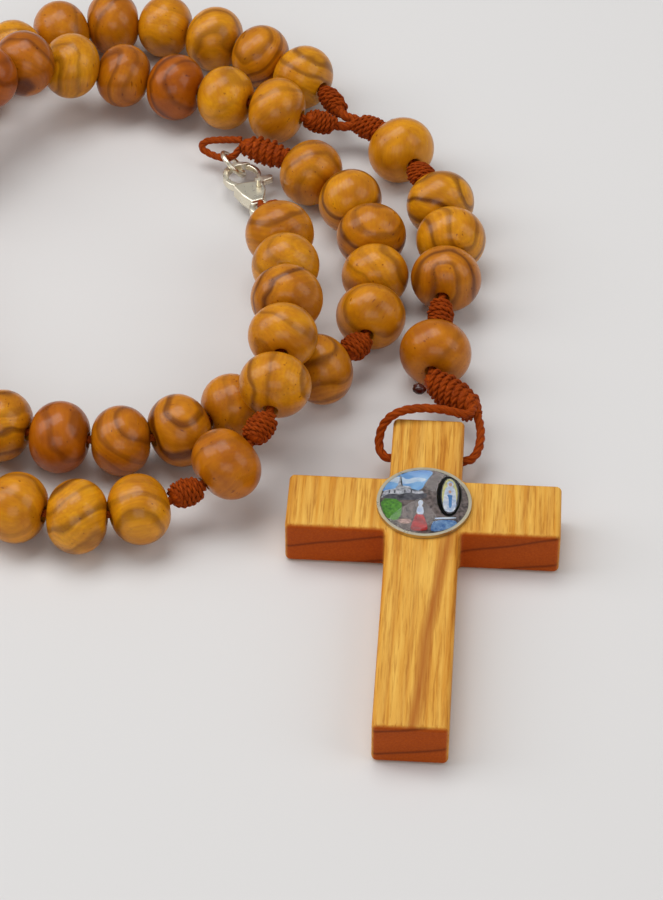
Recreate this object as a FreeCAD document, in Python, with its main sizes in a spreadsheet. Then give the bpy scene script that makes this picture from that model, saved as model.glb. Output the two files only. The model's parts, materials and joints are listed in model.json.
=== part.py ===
# Rosary: a closed string of olive-wood beads on knotted cord, with a wooden
# cross on a pendant.  Millimetres, +Z up.  The origin is the middle of the
# cross's flat back where its arms cross; +X runs along the crossbar and +Y up
# the upright, towards the beads.  Everything lies on the plane Z = 0.
import FreeCAD
import Part
import Sketcher
import math
import os

Vec = FreeCAD.Vector
UP = Vec(0, 0, 1)

doc = FreeCAD.newDocument("rosary")

# ---------------------------------------------------------------- dimensions
sheet = doc.addObject("Spreadsheet::Sheet", "sizes")
SIZES = [
    ("bead_radius", 4.12, "widest radius of a plain bead"),
    ("bead_radius_small", 4.0, "widest radius of a slightly smaller bead"),
    ("bead_radius_large", 4.2, "widest radius of the six single beads and the largest plain ones"),
    ("bead_length", 6.58, "bead length along its cord"),
    ("bead_flat", 0.95, "radius of the flat round the mouth of the hole"),
    ("bead_hole", 0.85, "radius of the hole through a bead"),
    ("bead_step", 6.95, "step from one bead to the next along a tight row"),
    ("easy_step", 7.15, "step in the short row above the cross"),
    ("loose_step", 7.35, "step in the row that is arched over the other strand"),
    ("cord_radius", 0.525, "radius of the twisted nylon cord"),
    ("cord_bow", 0.2, "how far the cord may bow off a bead's axis in its hole"),
    ("knot_radius", 1.7, "widest radius of a barrel knot"),
    ("knot_end", 0.75, "radius of a barrel knot's end"),
    ("knot_step", 4.15, "space between two beads that a barrel knot fills"),
    ("knot_gap", 0.3, "clear space between a knot and the bead beside it"),
    ("lie_height", 4.2, "height of the cord's axis where the beads lie flat"),
    ("crossbar_length", 30.0, "cross, tip to tip of the crossbar"),
    ("arm_width", 8.0, "cross, width of both bars"),
    ("upper_arm", 9.5, "cross, upright above the crossbar"),
    ("lower_arm", 27.8, "cross, upright below the crossbar"),
    ("cross_thickness", 5.8, "cross, thickness"),
    ("cross_edge", 0.6, "cross, rounding of every edge"),
    ("cord_hole", 1.0, "cross, radius of the hole through the upper arm"),
    ("cord_hole_up", 9.6, "cross, height of that hole up the upright"),
    ("cord_hole_lift", 2.9, "cross, height of that hole above the back"),
    ("medal_radius", 5.2, "medal plate radius"),
    ("medal_thickness", 0.5, "medal plate thickness"),
    ("picture_radius", 4.85, "printed disc radius"),
    ("picture_thickness", 0.15, "printed disc thickness"),
    ("dome_rise", 1.0, "height of the clear dome over the print"),
    ("clasp_thickness", 1.0, "thickness of the claw's hook"),
    ("clasp_turn", 24.4, "turn of the clasp from the upright's direction, degrees"),
    ("clasp_lift", 2.2, "height of the clasp's middle plane"),
    ("claw_radius", 2.4, "outer radius of the claw's ring"),
    ("claw_wall", 0.65, "width of the claw's ring"),
    ("claw_up", 6.6, "distance from the clasp's eye to the middle of its ring"),
    ("eye_radius", 1.35, "outer radius of the clasp's eye"),
    ("eye_hole", 0.72, "hole radius of the clasp's eye"),
    ("rivet_radius", 0.25, "rivet of the clasp's lever"),
    ("ring_radius", 1.85, "jump ring, radius of the wire's centre line"),
    ("ring_wire", 0.3, "jump ring, radius of the wire"),
]
for row, (alias, value, note) in enumerate(SIZES, start=1):
    sheet.set("A%d" % row, alias)
    sheet.set("B%d" % row, str(value))
    sheet.set("C%d" % row, note)
    sheet.setAlias("B%d" % row, alias)
doc.recompute()


def size(alias):
    return float(sheet.get(alias))


def number(expression):
    """The value of an expression on the sheet."""
    return float(sheet.evalExpression(expression))


parts = {}


def keep(name, obj):
    """Remember the object as a finished piece, under the name of its file."""
    obj.Label = name
    parts[name] = obj
    return obj


# ------------------------------------------------------------------ barrels
def barrel(name, radius, length, end, hole):
    """A bead: a bulging profile turned about Z, with a hole along it.

    radius, length, end and hole are expressions on the sheet.
    """
    body = doc.addObject("PartDesign::Body", name)
    sketch = body.newObject("Sketcher::SketchObject", name + "_profile")
    plane = [f for f in body.Origin.OriginFeatures if f.Role == "XZ_Plane"][0]
    sketch.AttachmentSupport = [(plane, "")]
    sketch.MapMode = "FlatFace"
    inner = number(hole)
    wide = number(radius)
    flat = number(end)
    top = number(length) / 2
    bottom = -top
    sketch.addGeometry(Part.LineSegment(Vec(inner, bottom, 0), Vec(inner, top, 0)), False)
    sketch.addGeometry(Part.LineSegment(Vec(inner, top, 0), Vec(flat, top, 0)), False)
    bulge = Part.Arc(Vec(flat, bottom, 0), Vec(wide, 0, 0), Vec(flat, top, 0))
    sketch.addGeometry(bulge, False)
    sketch.addGeometry(Part.LineSegment(Vec(flat, bottom, 0), Vec(inner, bottom, 0)), False)
    rules = [
        ("Coincident", 0, 2, 1, 1),
        ("Coincident", 1, 2, 2, 2),
        ("Coincident", 2, 1, 3, 1),
        ("Coincident", 3, 2, 0, 1),
        ("Vertical", 0),
        ("Horizontal", 1),
        ("Horizontal", 3),
        ("Symmetric", 2, 1, 2, 2, -1),
    ]
    for rule in rules:
        sketch.addConstraint(Sketcher.Constraint(*rule))

    def drive(constraint, expression):
        index = sketch.addConstraint(constraint)
        sketch.setExpression("Constraints[%d]" % index, expression)

    drive(Sketcher.Constraint("DistanceY", 0, 1, 0, 2, top - bottom), length)
    drive(Sketcher.Constraint("DistanceX", -1, 1, 1, 2, flat), end)
    bow = "((%s) - (%s))" % (radius, end)
    bulge_radius = "(%s ^ 2 + ((%s) / 2) ^ 2) / (2 * %s)" % (bow, length, bow)
    drive(Sketcher.Constraint("Radius", 2, number(bulge_radius)), bulge_radius)
    drive(Sketcher.Constraint("DistanceX", -1, 1, 0, 1, inner), hole)
    turn = body.newObject("PartDesign::Revolution", name + "_turned")
    turn.Profile = sketch
    turn.ReferenceAxis = (sketch, ["V_Axis"])
    turn.Angle = 360
    return body


def wound(name, radius, length, end):
    """A barrel knot: a cylinder between two cones, turned about Z."""
    body = doc.addObject("PartDesign::Body", name)
    sketch = body.newObject("Sketcher::SketchObject", name + "_profile")
    plane = [f for f in body.Origin.OriginFeatures if f.Role == "XZ_Plane"][0]
    sketch.AttachmentSupport = [(plane, "")]
    sketch.MapMode = "FlatFace"
    wide = number(radius)
    flat = number(end)
    top = number(length) / 2
    shoulder = 0.4 * top
    corners = [Vec(0, -top, 0), Vec(flat, -top, 0), Vec(wide, -shoulder, 0),
               Vec(wide, shoulder, 0), Vec(flat, top, 0), Vec(0, top, 0)]
    for start, finish in zip(corners, corners[1:] + corners[:1]):
        sketch.addGeometry(Part.LineSegment(start, finish), False)
    rules = [("Coincident", index, 2, (index + 1) % 6, 1) for index in range(6)]
    rules += [("Horizontal", 0), ("Horizontal", 4), ("Equal", 0, 4),
              ("PointOnObject", 5, 1, -2),
              ("Symmetric", 5, 1, 5, 2, -1), ("Symmetric", 2, 1, 2, 2, -1)]
    for rule in rules:
        sketch.addConstraint(Sketcher.Constraint(*rule))
    for rule, expression in (
            (("DistanceY", 5, 2, 5, 1, 2 * top), length),
            (("DistanceX", 0, 1, 0, 2, flat), end),
            (("DistanceX", -1, 1, 2, 1, wide), radius),
            (("DistanceY", 2, 1, 2, 2, 2 * shoulder), "0.4 * (%s)" % length)):
        index = sketch.addConstraint(Sketcher.Constraint(*rule))
        sketch.setExpression("Constraints[%d]" % index, expression)
    turn = body.newObject("PartDesign::Revolution", name + "_turned")
    turn.Profile = sketch
    turn.ReferenceAxis = (sketch, ["V_Axis"])
    turn.Angle = 360
    return body


def along(start, end):
    """The placement whose Z runs from start to end, at their middle."""
    turn = FreeCAD.Rotation(UP, end - start)
    return FreeCAD.Placement((start + end) * 0.5, turn)


# -------------------------------------------------------------------- cords
def tube_wire(points, bow=None):
    """Straight runs between the points, joined by tangent arcs.

    Each arc is as large as its two runs allow, or, with bow, no larger than
    keeps the cord that close to the corner.  Returns the wire and the radii.
    """
    edges = []
    radii = []
    here = points[0]
    for before, corner, after in zip(points, points[1:], points[2:]):
        into = corner - before
        out = after - corner
        half_turn = into.getAngle(out) / 2
        shorter = min(into.Length, out.Length)
        radius = 0.45 * shorter / math.tan(half_turn)
        if bow:
            radius = min(radius, bow / (1 / math.cos(half_turn) - 1))
        radii.append(radius)
        cut = radius * math.tan(half_turn)
        into.normalize()
        out.normalize()
        arc_start = corner - into * cut
        arc_end = corner + out * cut
        inward = out - into
        inward.normalize()
        middle = corner + inward * (radius / math.cos(half_turn) - radius)
        edges.append(Part.LineSegment(here, arc_start).toShape())
        edges.append(Part.Arc(arc_start, middle, arc_end).toShape())
        here = arc_end
    edges.append(Part.LineSegment(here, points[-1]).toShape())
    return Part.Wire(edges), radii


def tube(name, points, radius, bow=None):
    """A round cord along the points, as a finished piece."""
    wire, radii = tube_wire(points, bow)
    direction = points[1] - points[0]
    section = Part.Face(Part.Wire(Part.makeCircle(radius, points[0], direction)))
    solid = wire.makePipe(section)
    expected = math.pi * radius ** 2 * wire.Length
    error = abs(solid.Volume - expected) / expected
    tightest = min(radii) if radii else 0.0
    print("%-28s length %6.2f  least radius %5.2f  volume error %.4f"
          % (name, wire.Length, tightest, error))
    if error > 0.01:
        raise RuntimeError(name + ": the tube's volume is wrong")
    feature = doc.addObject("Part::Feature", name)
    feature.Shape = solid
    return keep(name, feature)


# ------------------------------------------------------------------- routes
def step_along(guide, steps):
    """Corners that lie on a smooth curve through guide, the steps apart."""
    curve = Part.BSplineCurve()
    curve.interpolate([Vec(*p) for p in guide])
    line = curve.discretize(Number=3000)
    corners = [line[0]]
    at = 0
    for step in steps:
        here = corners[-1]
        while at < len(line) - 1 and here.distanceToPoint(line[at]) < step:
            at += 1
        a, b = line[at - 1], line[at]
        near, far = 0.0, 1.0
        for _ in range(30):
            middle = (near + far) / 2
            if here.distanceToPoint(a + (b - a) * middle) < step:
                near = middle
            else:
                far = middle
        corners.append(a + (b - a) * near)
    return corners


STEP = size("bead_step")
EASY = size("easy_step")
LOOSE = size("loose_step")
KNOT = size("knot_step")
LIE = size("lie_height")
GAP = size("knot_gap")
CORD = size("cord_radius")

# Each strand leaves the centre knot, runs ten beads, a single bead, ten
# beads, a single bead and five beads, with a knot at each change.  The under
# strand is on the outside at the top and passes beneath the over strand twice.
UNDER_GUIDE = [
    (-12.8, 68.5, 3.6), (-15.2, 72.8, 4.0), (-18.5, 75.8, LIE),
    (-24.2, 79.7, LIE), (-30.6, 82.9, LIE), (-37.2, 85.3, LIE),
    (-44.0, 85.7, LIE), (-50.5, 83.1, LIE), (-56.2, 78.4, LIE),
    (-60.7, 72.6, LIE), (-64.0, 65.9, LIE), (-65.6, 59.0, LIE),
    (-65.9, 47.7, LIE), (-65.0, 37.3, LIE), (-63.0, 27.0, LIE),
    (-58.6, 17.4, LIE), (-50.0, 11.2, LIE), (-42.0, 9.4, LIE),
    (-35.0, 9.0, LIE), (-28.3, 10.6, LIE), (-22.8, 15.2, LIE),
    (-12.6, 22.3, LIE), (-6.9, 32.3, LIE), (-7.9, 39.4, LIE),
    (-7.7, 46.4, LIE), (-11.3, 52.5, LIE), (-16.4, 57.3, LIE),
    (-21.5, 61.2, LIE)]
OVER_GUIDE = [
    (-12.8, 67.0, 3.4), (-17.4, 66.9, 4.6), (-21.3, 67.7, 5.2),
    (-28.4, 70.3, 4.9), (-35.1, 72.4, 4.4), (-41.6, 74.2, 4.8),
    (-47.9, 72.8, 6.8), (-53.7, 69.7, 9.9), (-57.1, 63.7, 11.6),
    (-60.8, 58.1, 12.0), (-66.3, 53.4, 12.0), (-71.8, 49.2, 10.8),
    (-77.2, 40.6, 6.8), (-78.2, 33.3, 4.6), (-75.0, 22.8, LIE),
    (-70.0, 14.2, LIE), (-62.8, 7.0, LIE), (-54.0, 1.4, LIE),
    (-44.3, -2.0, LIE), (-37.4, -3.2, LIE), (-30.9, -1.3, LIE),
    (-21.7, 4.3, 6.2), (-16.8, 13.0, 10.5), (-17.2, 20.1, 11.2),
    (-16.8, 27.6, 10.0), (-17.8, 34.9, 8.7), (-19.0, 42.1, 7.3),
    (-20.4, 49.0, 5.8)]

# ------------------------------------------------------- beads and knots
MOUTH = {"length": "sizes.bead_length", "end": "sizes.bead_flat", "hole": "sizes.bead_hole"}
patterns = [barrel("pattern_plain", "sizes.bead_radius", **MOUTH),
            barrel("pattern_small", "sizes.bead_radius_small", **MOUTH),
            barrel("pattern_large", "sizes.bead_radius_large", **MOUTH)]
doc.recompute()


def single_bead(name, start, end):
    """A bead in a node of its own, on the cord from start to end."""
    body = barrel(name, "sizes.bead_radius_large", **MOUTH)
    body.Placement = along(start, end)
    return keep(name, body)


def bead_row(name, corners):
    """One bead on each step between the corners, as one group of solids."""
    solids = []
    for index, (start, end) in enumerate(zip(corners, corners[1:])):
        pattern = patterns[(index * index + index // 2) % 3]
        bead = pattern.Shape.copy()
        bead.Placement = along(start, end)
        solids.append(bead)
    feature = doc.addObject("Part::Feature", name)
    feature.Shape = Part.makeCompound(solids)
    return keep(name, feature)


def knot(name, start, end, width=1.0, gap_start=GAP, gap_end=GAP):
    """A barrel knot between start and end, clear of both by the gaps."""
    direction = end - start
    direction.normalize()
    first = start + direction * gap_start
    last = end - direction * gap_end
    body = wound(name, "sizes.knot_radius * %g" % width,
                 "%g" % first.distanceToPoint(last), "sizes.knot_end * %g" % width)
    body.Placement = along(first, last)
    return keep(name, body), first, last


def strand(name, guide, branch_step, second_end_step, last_start_step, last_step, branch_width):
    """All of one strand's beads, knots and cords, from the centre to the clasp."""
    steps = ([branch_step] + [STEP] * 10 + [KNOT, STEP, KNOT] + [STEP] * 10
             + [second_end_step, STEP, last_start_step] + [last_step] * 5)
    corner = step_along(guide, steps)
    knot(name + "_branch_knot", corner[0], corner[1], branch_width, gap_start=1.3)
    bead_row(name + "_first_decade", corner[1:12])
    tube(name + "_first_cord", corner[1:12], CORD, size("cord_bow"))
    knot(name + "_first_end_knot", corner[11], corner[12])
    single_bead(name + "_first_father_bead", corner[12], corner[13])
    tube(name + "_first_father_cord", corner[12:14], CORD)
    knot(name + "_second_start_knot", corner[13], corner[14])
    bead_row(name + "_second_decade", corner[14:25])
    tube(name + "_second_cord", corner[14:25], CORD, size("cord_bow"))
    knot(name + "_second_end_knot", corner[24], corner[25])
    single_bead(name + "_second_father_bead", corner[25], corner[26])
    tube(name + "_second_father_cord", corner[25:27], CORD)
    knot(name + "_last_start_knot", corner[26], corner[27])
    bead_row(name + "_last_five", corner[27:33])
    tube(name + "_last_cord", corner[27:33], CORD, size("cord_bow"))
    return corner


under = strand("under", UNDER_GUIDE, 6.0, 4.8, 4.2, EASY, 0.85)
over = strand("over", OVER_GUIDE, 5.4, KNOT, KNOT, LOOSE, 0.9)

# ------------------------------------------------------------------ pendant
PENDANT_GUIDE = [
    (-0.1, 22.5, LIE), (0.4, 26.0, LIE), (0.5, 32.4, LIE), (0.9, 38.8, 4.8),
    (1.5, 45.6, 4.4), (0.2, 52.2, LIE), (-2.9, 57.4, LIE), (-5.2, 62.4, LIE),
    (-8.4, 66.2, 3.9), (-12.4, 68.0, 3.7)]
pendant = step_along(PENDANT_GUIDE, [STEP, 5.4, EASY, EASY, EASY, 4.2, STEP, 5.2])

single_bead("pendant_father_bead", pendant[0], pendant[1])
tube("pendant_father_cord", pendant[0:2], CORD)
knot("pendant_lower_knot", pendant[1], pendant[2], 0.95)
for place in (1, 2, 3):
    single_bead("pendant_bead_%d" % place, pendant[place + 1], pendant[place + 2])
tube("pendant_bead_cord", pendant[2:6], CORD, size("cord_bow"))
knot("pendant_upper_knot", pendant[5], pendant[6])
single_bead("centre_father_bead", pendant[6], pendant[7])
tube("centre_father_cord", pendant[6:8], CORD)
_, _, centre_end = knot("centre_knot", pendant[7], pendant[8], 0.95)

# Two short bare cords join the centre knot to the branch knots, side by side.
BRANCH_SIDE = {"under": 0.5, "over": -0.5}
into_knot = pendant[7] - pendant[8]
into_knot.normalize()
for name, corner in (("under", under), ("over", over)):
    direction = corner[1] - corner[0]
    direction.normalize()
    side = Vec(0, BRANCH_SIDE[name], 0)
    tube(name + "_branch_cord", [centre_end + into_knot * 0.4 + side, corner[0] + direction * 1.15],
         CORD * 0.9)

# -------------------------------------------------------------------- cross
upright = doc.addObject("Part::Box", "upright")
upright.setExpression("Length", "sizes.arm_width")
upright.setExpression("Width", "sizes.upper_arm + sizes.arm_width + sizes.lower_arm")
upright.setExpression("Height", "sizes.cross_thickness")
upright.setExpression("Placement.Base.x", "-sizes.arm_width / 2")
upright.setExpression("Placement.Base.y", "-sizes.arm_width / 2 - sizes.lower_arm")
crossbar = doc.addObject("Part::Box", "crossbar")
crossbar.setExpression("Length", "sizes.crossbar_length")
crossbar.setExpression("Width", "sizes.arm_width")
crossbar.setExpression("Height", "sizes.cross_thickness")
crossbar.setExpression("Placement.Base.x", "-sizes.crossbar_length / 2")
crossbar.setExpression("Placement.Base.y", "-sizes.arm_width / 2")
cross_block = doc.addObject("Part::MultiFuse", "cross_block")
cross_block.Shapes = [upright, crossbar]
cross_block.Refine = True
doc.recompute()
cross_rounded = doc.addObject("Part::Fillet", "cross_rounded")
cross_rounded.Base = cross_block
edge_radius = size("cross_edge")
cross_rounded.Edges = [(index + 1, edge_radius, edge_radius)
                       for index in range(len(cross_block.Shape.Edges))]
cord_way = doc.addObject("Part::Cylinder", "cord_way")
cord_way.setExpression("Radius", "sizes.cord_hole")
cord_way.setExpression("Height", "sizes.arm_width + 4")
cord_way.Placement = FreeCAD.Placement(Vec(0, 0, 0), FreeCAD.Rotation(Vec(0, 1, 0), 90))
cord_way.setExpression("Placement.Base.x", "-sizes.arm_width / 2 - 2")
cord_way.setExpression("Placement.Base.y", "sizes.cord_hole_up")
cord_way.setExpression("Placement.Base.z", "sizes.cord_hole_lift")
cross = doc.addObject("Part::Cut", "cross_piece")
cross.Base = cross_rounded
cross.Tool = cord_way
keep("cross", cross)


def disc(name, radius, height, base):
    """A flat round piece on the Z axis; every size is an expression."""
    piece = doc.addObject("Part::Cylinder", name)
    piece.setExpression("Radius", radius)
    piece.setExpression("Height", height)
    piece.setExpression("Placement.Base.z", base)
    return piece


FACE = "sizes.cross_thickness"
plate = disc("plate", "sizes.medal_radius", "sizes.medal_thickness", FACE)
plate_seat = disc("plate_seat", "sizes.picture_radius", "sizes.picture_thickness",
                  FACE + " + sizes.medal_thickness - sizes.picture_thickness")
medal = doc.addObject("Part::Cut", "medal")
medal.Base = plate
medal.Tool = plate_seat
keep("medal_plate", medal)
keep("medal_picture", disc("picture", "sizes.picture_radius", "sizes.picture_thickness",
                           FACE + " + sizes.medal_thickness - sizes.picture_thickness"))
dome_base = FACE + " + sizes.medal_thickness"
dome_ball = doc.addObject("Part::Sphere", "dome_ball")
ball = "((sizes.picture_radius ^ 2 + sizes.dome_rise ^ 2) / (2 * sizes.dome_rise))"
dome_ball.setExpression("Radius", ball)
dome_ball.setExpression("Placement.Base.z", dome_base + " + sizes.dome_rise - " + ball)
dome_core = disc("dome_core", "sizes.medal_radius", "sizes.dome_rise + 1", dome_base)
dome = doc.addObject("Part::Common", "dome")
dome.Base = dome_ball
dome.Tool = dome_core
keep("medal_dome", dome)

# The cord loop goes through the upper arm and back into the fat knot.
hole_up = size("cord_hole_up")
hole_lift = size("cord_hole_lift")
KNOT_LOW = Vec(5.2, 16.3, 4.5)
KNOT_HIGH = Vec(-0.3, 21.4, LIE)
knot("cross_knot", KNOT_HIGH, KNOT_LOW, 1.2, gap_start=0.1, gap_end=0.0)
loop_points = [
    KNOT_LOW, Vec(5.8, 14.2, 4.2), Vec(5.8, 12.4, 3.6), Vec(5.4, 10.6, 3.1),
    Vec(4.4, hole_up, hole_lift), Vec(-4.4, hole_up, hole_lift),
    Vec(-5.3, 10.5, 3.1), Vec(-5.5, 11.8, 4.0), Vec(-5.0, 12.6, 5.6),
    Vec(-3.6, 13.1, 6.9), Vec(-1.2, 13.7, 7.1), Vec(1.6, 13.9, 6.8),
    Vec(4.2, 14.2, 5.8), Vec(4.9, 15.3, 5.6), KNOT_LOW + Vec(-0.5, 0.4, 0.5)]
tube("cross_loop_cord", loop_points, CORD)

# -------------------------------------------------------------------- clasp
clasp_place = FreeCAD.Placement(Vec(-22.2, 52.1, size("clasp_lift")),
                                FreeCAD.Rotation(UP, size("clasp_turn")))


def slab(face, thickness, middle=0.0):
    """Extrude a flat face evenly to both sides of the height middle."""
    solid = face.extrude(Vec(0, 0, thickness))
    solid.translate(Vec(0, 0, middle - thickness / 2))
    return solid


def round_face(radius, x, y):
    return Part.Face(Part.Wire(Part.makeCircle(radius, Vec(x, y, 0))))


def polygon_face(points):
    corners = [Vec(x, y, 0) for x, y in points]
    return Part.Face(Part.makePolygon(corners + corners[:1]))


def clasp_piece(name, solid):
    feature = doc.addObject("Part::Feature", name)
    feature.Shape = solid
    feature.Placement = clasp_place
    return keep(name, feature)


claw_up = size("claw_up")
claw_outer = size("claw_radius")
claw_inner = claw_outer - size("claw_wall")
hook_thick = size("clasp_thickness")
block_thick = hook_thick + 0.7
pivot_x, pivot_y = 1.05, 3.45
lever_thick = 0.8
ring_face = round_face(claw_outer, 0, claw_up).cut(round_face(claw_inner, 0, claw_up))
# The lever's tip swings inwards under the hook's end, on a circle round its rivet.
tip_reach = 4.75
gate_gap = polygon_face([(0.45, pivot_y), (4.0, pivot_y), (4.0, 9.6), (-0.9, 9.6), (-0.9, 7.0),
                         (0.9, 7.0)])
gate_gap = gate_gap.common(round_face(tip_reach + 0.1, pivot_x, pivot_y))
block_face = polygon_face([(-0.75, 0.9), (0.75, 0.9), (1.65, 2.6), (1.75, 3.9), (0.9, 4.5),
                           (-1.0, 4.75), (-1.9, 4.5), (-1.5, 2.6)])
hook = slab(ring_face, hook_thick).cut(slab(gate_gap, 3.0))
block = slab(block_face, block_thick)
eye = slab(round_face(size("eye_radius"), 0, 0), 1.1)
claw = hook.fuse([block, eye])
claw = claw.cut(slab(round_face(size("eye_hole"), 0, 0), 3.0))
lever_slot = polygon_face([(0.0, 2.5), (3.0, 2.5), (3.0, 5.4), (0.0, 5.4)])
claw = claw.cut(slab(lever_slot, lever_thick + 0.2))
claw = claw.cut(slab(round_face(size("rivet_radius"), pivot_x, pivot_y), 3.0))
clasp_piece("clasp_claw", claw.removeSplitter())

lever_ring = round_face(claw_outer - 0.05, 0, claw_up).cut(round_face(claw_inner + 0.1, 0, claw_up))
lever_side = polygon_face([(1.05, 4.2), (4.0, 4.2), (4.0, 9.3), (1.15, 8.7), (1.0, 7.9)])
lever_side = lever_side.common(round_face(tip_reach, pivot_x, pivot_y))
lever_foot = polygon_face([(0.62, 3.2), (1.5, 3.0), (2.15, 4.9), (2.0, 5.6), (1.25, 5.6), (0.95, 4.6)])
lever_thumb = polygon_face([(1.9, 4.5), (3.3, 4.7), (3.5, 5.3), (3.1, 5.6), (2.2, 5.5), (1.8, 5.3)])
lever = slab(lever_ring.common(lever_side), lever_thick)
lever = lever.fuse([slab(lever_foot, lever_thick), slab(lever_thumb, lever_thick),
                    slab(round_face(0.5, pivot_x, pivot_y), lever_thick)])
lever = lever.cut(slab(round_face(size("rivet_radius") + 0.05, pivot_x, pivot_y), 3.0))
clasp_piece("clasp_lever", lever.removeSplitter())
clasp_piece("clasp_rivet", slab(round_face(size("rivet_radius"), pivot_x, pivot_y), block_thick + 0.1))
spring_leaf = polygon_face([(0.14, 2.78), (0.26, 2.78), (0.5, 3.9), (0.62, 4.6), (0.5, 4.6), (0.38, 3.9)])
clasp_piece("clasp_spring", slab(spring_leaf, 0.6))

# The jump ring passes through the claw and round the loop of cord.
ring = doc.addObject("Part::Torus", "ring")
ring.setExpression("Radius1", "sizes.ring_radius")
ring.setExpression("Radius2", "sizes.ring_wire")
ring_turn = FreeCAD.Rotation(UP, size("clasp_turn")).multiply(FreeCAD.Rotation(Vec(0, 1, 0), 50))
ring_middle = clasp_place.multVec(Vec(-0.2, claw_up + 2.75, 0.0))
ring.Placement = FreeCAD.Placement(ring_middle, ring_turn)
keep("jump_ring", ring)

# Ends of the two strands: a knot with a cord loop for the ring, and a knot
# tied to the clasp's eye.
through_ring = clasp_place.multVec(Vec(-0.6, claw_up + 3.4, 0.0))
loop_start = under[-1]
KNOT_LEFT = Vec(-25.3, 62.4, 3.9)
knot("under_last_knot", loop_start, KNOT_LEFT, 1.05)
loop_cord = [
    KNOT_LEFT + Vec(-0.2, -0.25, -0.5), through_ring + Vec(1.0, 0.5, 0.3),
    through_ring + Vec(-0.8, 0.2, 0.0), Vec(-29.6, 61.9, 2.0), Vec(-30.7, 62.9, 2.5),
    Vec(-30.0, 63.6, 3.4), Vec(-28.2, 63.4, 3.9), KNOT_LEFT + Vec(-0.1, 0.35, 0.5)]
tube("loop_cord", loop_cord, CORD * 0.9)

tie_start = over[-1]
tie_end = Vec(-20.9, 48.3, 6.2)
knot("over_last_knot", tie_start, tie_end, 1.0)
eye_at = clasp_place.multVec(Vec(0, 0, 0))
tie_cord = [tie_end, Vec(-21.6, 49.6, 4.9), eye_at + Vec(0.2, -1.2, 1.9), eye_at + Vec(0, 0.1, 1.3),
            eye_at + Vec(0, 0.1, -0.9), eye_at + Vec(0.3, -1.6, -1.4), Vec(-21.4, 48.6, 1.6)]
tube("clasp_tie_cord", tie_cord, 0.4)

# -------------------------------------------------------------- check, write
doc.recompute()
for obj in doc.Objects:
    if "Invalid" in obj.State or "Error" in obj.State:
        raise RuntimeError("failed: " + obj.Name)
for name, obj in parts.items():
    if obj.Shape.isNull() or not obj.Shape.isValid():
        raise RuntimeError("bad shape: " + name)
os.makedirs("parts", exist_ok=True)
for name, obj in parts.items():
    obj.Shape.exportStep("parts/%s.step" % name)
print(len(parts), "pieces")
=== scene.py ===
"""Looks of the rosary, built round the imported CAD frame. Lengths in mm until place()."""
import json
import math
import random

import bpy
import numpy as np
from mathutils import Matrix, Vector, noise


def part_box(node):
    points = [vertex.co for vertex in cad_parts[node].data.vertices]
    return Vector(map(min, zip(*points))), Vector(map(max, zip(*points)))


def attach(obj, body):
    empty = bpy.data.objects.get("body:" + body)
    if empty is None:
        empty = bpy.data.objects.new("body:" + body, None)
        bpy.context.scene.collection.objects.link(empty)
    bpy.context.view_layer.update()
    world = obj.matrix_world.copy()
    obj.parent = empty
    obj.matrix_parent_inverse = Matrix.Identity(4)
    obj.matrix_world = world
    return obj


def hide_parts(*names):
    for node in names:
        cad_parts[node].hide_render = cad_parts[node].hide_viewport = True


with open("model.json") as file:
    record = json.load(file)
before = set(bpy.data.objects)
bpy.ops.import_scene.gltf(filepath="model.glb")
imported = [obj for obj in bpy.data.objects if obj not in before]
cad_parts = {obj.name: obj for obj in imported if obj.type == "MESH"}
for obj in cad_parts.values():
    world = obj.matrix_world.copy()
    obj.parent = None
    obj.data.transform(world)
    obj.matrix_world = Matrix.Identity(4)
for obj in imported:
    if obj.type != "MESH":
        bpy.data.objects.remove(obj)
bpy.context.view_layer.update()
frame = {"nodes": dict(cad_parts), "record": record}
NODES = frame["nodes"]
BODY_OF = {node: body
           for body, nodes in frame["record"]["behaviour"]["bodies"].items()
           for node in nodes}
MM = 0.001
TAU = 2 * math.pi
STRAND_SHARE = 0.56         # a strand's radius as a share of its rope's
CORD_RADIUS = 0.525
THIN_CORD_RADIUS = 0.47     # where it is drawn tight round the ring
TIE_CORD_RADIUS = 0.4
BRANCH_CORD_RADIUS = 0.62   # where it fluffs out between the knots
HIDDEN_CORD_RADIUS = 0.5    # inside beads and knots


# ------------------------------------------------------------ mesh helpers
def unit(vector):
    return vector / np.linalg.norm(vector)


def across(axis):
    """Two unit vectors square to the axis and to each other."""
    helper = np.array([0.0, 0.0, 1.0]) if abs(axis[2]) < 0.9 else np.array([1.0, 0.0, 0.0])
    first = unit(np.cross(axis, helper))
    return first, np.cross(axis, first)


class Build:
    """Collects points in mm, faces, a vector per point and a material per face."""

    def __init__(self):
        self.points = []
        self.faces = []
        self.fields = {}
        self.slots = []

    def add(self, points, faces, slot=0, **fields):
        start = len(self.points)
        self.points.extend(points)
        self.faces.extend([[start + i for i in face] for face in faces])
        self.slots.extend([slot] * len(faces))
        for name, values in fields.items():
            self.fields.setdefault(name, []).extend(values)

    def place(self, name, materials, node, slot, replaces=(), smooth=True):
        """Make the Blender object, in metres, riding on the node's body."""
        mesh = bpy.data.meshes.new(name)
        mesh.from_pydata([tuple(float(c) * MM for c in p) for p in self.points], [], self.faces)
        for field, values in self.fields.items():
            layer = mesh.attributes.new(field, "FLOAT_VECTOR", "POINT")
            layer.data.foreach_set("vector", np.array(values, dtype=float).ravel())
        for material in materials:
            mesh.materials.append(material)
        mesh.polygons.foreach_set("material_index", self.slots)
        mesh.polygons.foreach_set("use_smooth", [smooth] * len(self.faces))
        mesh.validate()
        mesh.update()
        piece = bpy.data.objects.new(name, mesh)
        bpy.context.collection.objects.link(piece)
        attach(piece, BODY_OF[node])
        if replaces:
            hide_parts(*replaces)


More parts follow.
